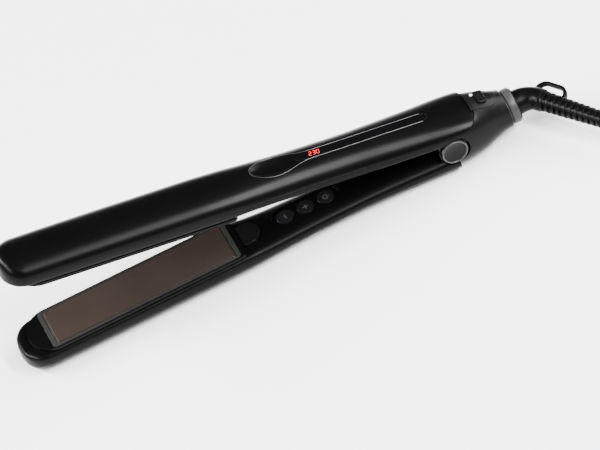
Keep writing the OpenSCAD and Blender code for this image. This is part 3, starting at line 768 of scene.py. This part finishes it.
def lock_set():
    """An inlay on the housing's curved top, round behind, and the slider in its slot."""
    o = house_skin("lock_inlay", 0.35)
    boolean(o, house_skin("under", -1.8))
    plan = arc(1.8, 0, 6.8, -90, 90, 32) + [(-7.2, 6.8), (-7.2, -6.8)]
    keep = prism("keep", plan, -6, 6)
    keep.data.transform(TO_M.inverted() @ LOCK)
    o.data.transform(Matrix.Translation((0, 0, CLOSE_Z)))
    boolean(o, keep, "INTERSECT")
    slot = prism("slot", round_box(-2.6, 5.4, -2.3, 2.3, 0.6, 4), -6, 6)
    slot.data.transform(TO_M.inverted() @ LOCK)
    boolean(o, slot)
    place(o, TO_M, "base", SATIN, "housing_grey", ["lock_plate"], degrees=25)
    outline = round_box(-2.3, 2.3, -4.4, 4.4, 1, 6)
    knob = loft("lock_knob", [[(x * k, y * k, z) for x, y in outline]
                              for k, z in ((1, 0.1), (1, 0.85), (0.94, 1.1), (0.8, 1.2))])
    place(knob, LOCK, "lock", SATIN, "housing_grey", ["lock_slider"])
    stem = prism("lock_stem", round_box(-1.8, 1.8, -1.9, 1.9, 0.5, 4), -5.4, 0.4)
    place(stem, LOCK, "lock", SATIN, "housing_grey")
    for k in range(3):
        x = -1.3 + 1.3 * k
        rib = prism(f"lock_rib_{k}", round_box(x - 0.28, x + 0.28, -3.4, 3.4, 0.25, 4), 1, 1.75)
        place(rib, LOCK, "lock", CAP_M, "housing_grey")
    dot = prism("lock_dot", arc(-3.5, 3.0, 0.75, 0, 360, 24)[:-1], -0.6, 0.25)
    place(dot, LOCK, "base", DOT_M, "housing_grey")


house()
hinge_caps()
collar()
lock_set()

# ---- strain relief and hanging loop ----
BEND_X, BEND_R, BEND, RELIEF_L = 142, 11, math.radians(57), 46
RELIEF_DIR = Vector((math.cos(BEND), -math.sin(BEND), 0))
RELIEF_AT = Vector((BEND_X + BEND_R * math.sin(BEND), -BEND_R * (1 - math.cos(BEND)), 0))
RELIEF = SWIVEL @ Matrix.Translation(RELIEF_AT) @ Matrix.Rotation(-BEND, 4, "Z")


def elbow():
    """The bent root of the strain relief, from the collar round to the ribbed part."""
    path = [Vector((140, 0, 0)), Vector((141, 0, 0))]
    path += [Vector((BEND_X + BEND_R * math.sin(BEND * k / 16), -BEND_R * (1 - math.cos(BEND * k / 16)), 0))
             for k in range(17)]
    path += [RELIEF_AT + RELIEF_DIR * d for d in (1, 2, 2.6, 3)]
    rings = []
    for i, p in enumerate(path):
        d = (path[min(i + 1, len(path) - 1)] - path[max(i - 1, 0)]).normalized()
        side = d.cross(Vector((0, 0, 1)))
        r = 5.9 + 0.7 * (1 - ease(i / 14)) if i < len(path) - 2 else (5.75, 5.3)[i - len(path) + 2]
        turns = [2 * math.pi * k / 48 for k in range(48)]
        rings.append([p + side * r * math.cos(a) + Vector((0, 0, r * math.sin(a))) for a in turns])
    return loft("relief_elbow", rings)


def ribs():
    """The flexible part: a core, twelve ribs, and bars that join them on two sides."""
    n, pitch = 12, 3.5
    core = [(0, 1), (3.9, 1), (3.9, 4)]
    core += [(3.9 - 0.6 * k / 8, 4 + (RELIEF_L - 4.5) * k / 8) for k in range(9)]
    core += [(3.1, RELIEF_L), (0, RELIEF_L)]
    o = lathe("relief_core", core, 48, "X")
    place(o, RELIEF, "swivel", RELIEF_M, "relief_black")
    for i in range(n):
        x, r = 3.9 + i * pitch, 5.35 - i * 0.1
        w, rnd = 0.95, 0.35
        edge = [(r + rnd * math.cos(a) - rnd, x + w - rnd + rnd * math.sin(a)) for a in (1.57, 1.0, 0.5, 0)]
        edge += [(r + rnd * math.cos(a) - rnd, x - w + rnd + rnd * math.sin(a))
                 for a in (0, -0.5, -1.0, -1.57)]
        o = lathe(f"relief_rib_{i}", [(3.0, x + w)] + edge + [(3.0, x - w)], 48, "X")
        place(o, RELIEF, "swivel", RELIEF_M, "relief_black")
    for side in (-1, 1):
        rings = []
        for k in range(21):
            x = 3 + (RELIEF_L - 6.5) * k / 20
            r = 5.2 - 1.15 * k / 20
            rings.append([(x, y, side * z) for y, z in
                          [(-1.5, r - 2), (1.5, r - 2), (1.6, r - 0.5), (1.1, r - 0.15), (0, r),
                           (-1.1, r - 0.15), (-1.6, r - 0.5)]])
        bar = loft(f"relief_bar_{side + 1}", rings)
        place(bar, RELIEF @ Matrix.Rotation(math.radians(38), 4, "X"), "swivel", RELIEF_M, "relief_black")


place(elbow(), SWIVEL, "swivel", RELIEF_M, "relief_black", ["strain_relief"])
ribs()


def hanging_loop():
    """A flat strap round a long hole, rooted in the back of the elbow."""
    line_ = arc(-3.5, 0, 5, 90, 270, 20) + arc(3.5, 0.4, 4.6, 270, 450, 20)
    pts = [Vector((x, y, 0)) for x, y in line_]
    rings = []
    for i, p in enumerate(pts):
        d = (pts[(i + 1) % len(pts)] - pts[i - 1]).normalized()
        out = Vector((d.y, -d.x, 0))
        sect = round_box(-1, 1, -1.5, 1.5, 0.6, 4)
        rings.append([p + out * a + Vector((0, 0, b)) for a, b in sect])
    o = loft("hanging_strap", rings, closed=True)
    m = RELIEF @ Matrix.Rotation(math.radians(12), 4, "X") @ Matrix.Translation((4.5, 4.7, 0))
    place(o, m, "swivel", RELIEF_M, "relief_black", ["hanging_loop"])


hanging_loop()


# ---- plug ----
def plug():
    """A flat moulded two-pin plug: ribbed neck, waisted body."""
    at = HOUSE @ Matrix.Translation((TAIL[-1][0], TAIL[-1][1], TAIL[-1][2] - CLOSE_Z)) @ Matrix.Rotation(
        math.radians(180), 4, "Z")
    rows = [(0, 4, 4), (3, 4.1, 4.1), (9, 4.7, 4.6), (12, 6.2, 5.6), (15, 10.5, 6.3), (19, 15.2, 6.5),
            (23, 16.8, 6.5), (31, 16.9, 6.5), (34.5, 16.6, 6.4), (35.6, 16, 6), (36, 15, 5.2)]
    rings = []
    for k in range(73):
        r = between(rows, k / 2)
        n = 2 + 1.2 * ease((r[0] - 8) / 12)
        rings.append(ring(r[0], r[1], r[2], -r[2], 0, n, n, 14))
    place(loft("plug_moulding", rings), at, "swivel", PLUG_M, "plug_black", ["plug_body"])


plug()
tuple(line[0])


# ---- floor and light ----
def floor():
    o = raw("floor", [(-2, -2, 0), (2, -2, 0), (2, 2, 0), (-2, 2, 0)], [(0, 1, 2, 3)])
    o.data.materials.append(plastic("floor", (0.9, 0.9, 0.9), 0.9, spread=0.005))


def area(name, at, aim, along, size, power):
    """A soft box at a place, turned to a point, with its first side as near to a direction as it can be."""
    data = bpy.data.lights.new(name, "AREA")
    data.shape = "RECTANGLE"
    data.size, data.size_y = size
    data.energy = power
    o = bpy.data.objects.new(name, data)
    bpy.context.scene.collection.objects.link(o)
    back = (Vector(at) - Vector(aim)).normalized()
    first = (Vector(along) - back * back.dot(Vector(along))).normalized()
    second = back.cross(first)
    o.matrix_world = Matrix.Translation(at) @ Matrix((first, second, back)).transposed().to_4x4()
    return o


def light():
    world = bpy.data.worlds.new("world")
    bpy.context.scene.world = world
    world.use_nodes = True
    world.node_tree.nodes["Background"].inputs["Color"].default_value = (1, 1, 1, 1)
    world.node_tree.nodes["Background"].inputs["Strength"].default_value = 0.05
    area("lower_strip", (0.22, -1.1, 1.55), (0.05, 0, 0.01), (1, 0, 0), (0.3, 0.5), 18)
    area("upper_strip", (1.0, -0.95, 1.6), (0.05, 0, 0.03), (1, 0, -0.2), (0.3, 1.1), 125)
    area("tip_strip", (-1.55, 0.8, 1.45), (-0.2, 0, 0.03), (0, 0.93, -0.35), (1.8, 0.45), 170)
    area("left_box", (-2.0, -0.6, 1.7), (0, 0, 0), (1, 0, 0), (1.0, 1.0), 80)
    area("right_box", (2.3, 0.5, 1.5), (0, 0, 0), (0, 1, 0), (1.6, 1.6), 165)


floor()
light()

bpy.context.view_layer.update()
